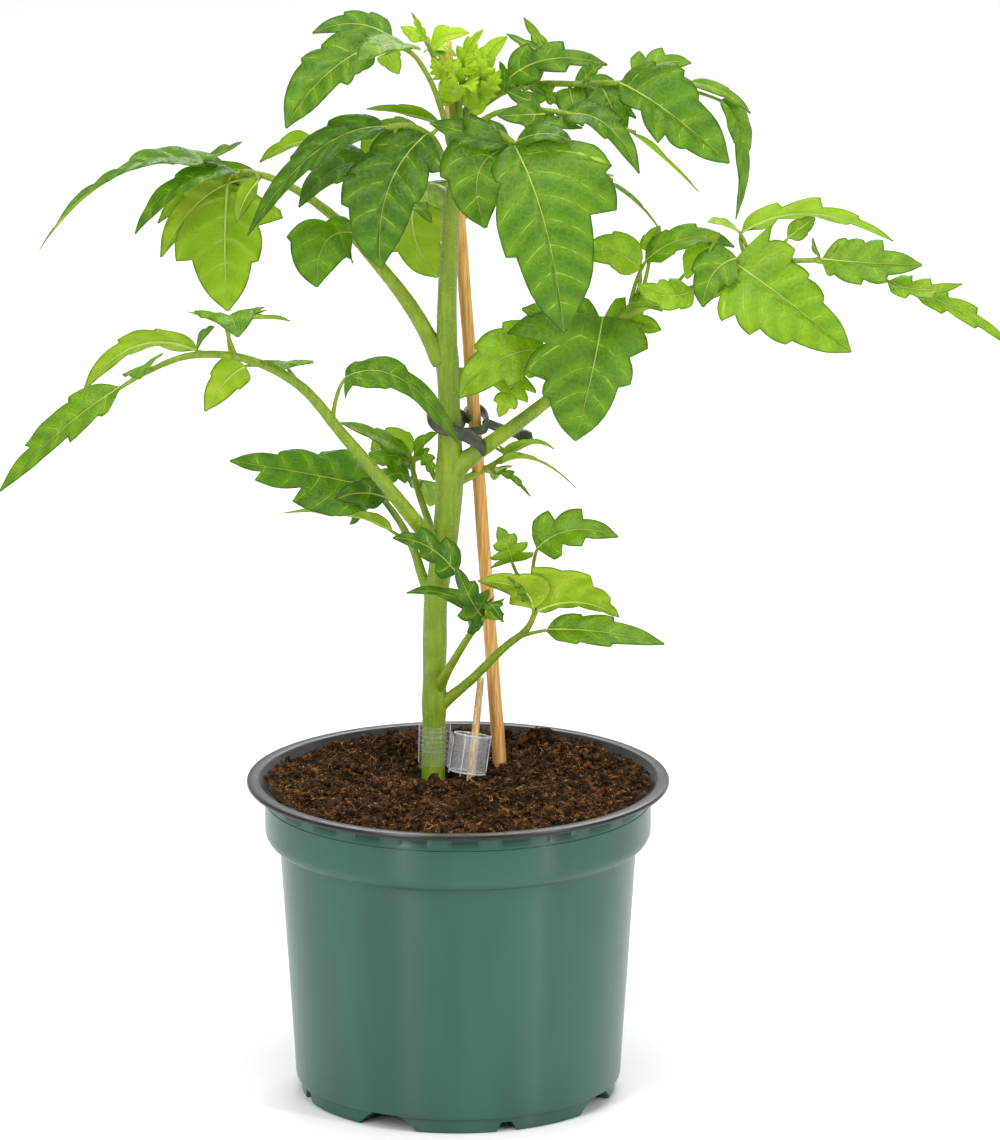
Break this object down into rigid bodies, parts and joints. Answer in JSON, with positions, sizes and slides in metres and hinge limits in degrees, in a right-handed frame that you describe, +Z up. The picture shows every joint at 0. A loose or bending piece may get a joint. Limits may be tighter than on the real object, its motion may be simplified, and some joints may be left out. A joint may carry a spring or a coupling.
{
  "type": "potted tomato plant",
  "caption": "Young tomato plant with toothed leaves and side shoots on a green stem, staked and clipped, in a soil-filled round green pot with a dark lip.",
  "frame": {"origin": "centre of the pot's foot, on the surface that the pot stands on", "axes": "+Z up along the pot's axis, +X to the right as seen from the front, -Y towards the front"},
  "size_m": [0.3312, 0.1663, 0.3649],
  "materials": {
    "pot_plastic": "semi-gloss green, lip and inside black",
    "soil": "rough dark peat with fibres",
    "stem": "soft green skin with short pale hairs",
    "leaf": "satin green with pale veins and fine hairs",
    "stake_wood": "plain sanded",
    "clear_clip": "clear flexible",
    "dark_clip": "dark grey-green"
  },
  "bodies": {
    "root": {"pot": "pot_plastic", "soil": "soil", "main_stem": "stem", "support_stake": "stake_wood", "graft_stick": "stake_wood", "graft_clip": "clear_clip", "stem_clip": "dark_clip", "leaf_low_left": "leaf", "leaf_high_left": "leaf", "leaf_front_left": "leaf", "leaf_back_left": "leaf", "leaf_top_left": "leaf", "shoot_tip": "leaf", "leaf_top_right": "leaf", "leaf_front_right": "leaf", "leaf_front": "leaf", "leaf_back_right": "leaf", "leaf_right": "leaf", "leaf_back_mid": "leaf", "shoot_right": "leaf", "shoot_left": "leaf", "shoot_axil": "leaf", "leaf_low_front": "leaf", "leaf_low_right": "leaf"}
  },
  "joints": []
}
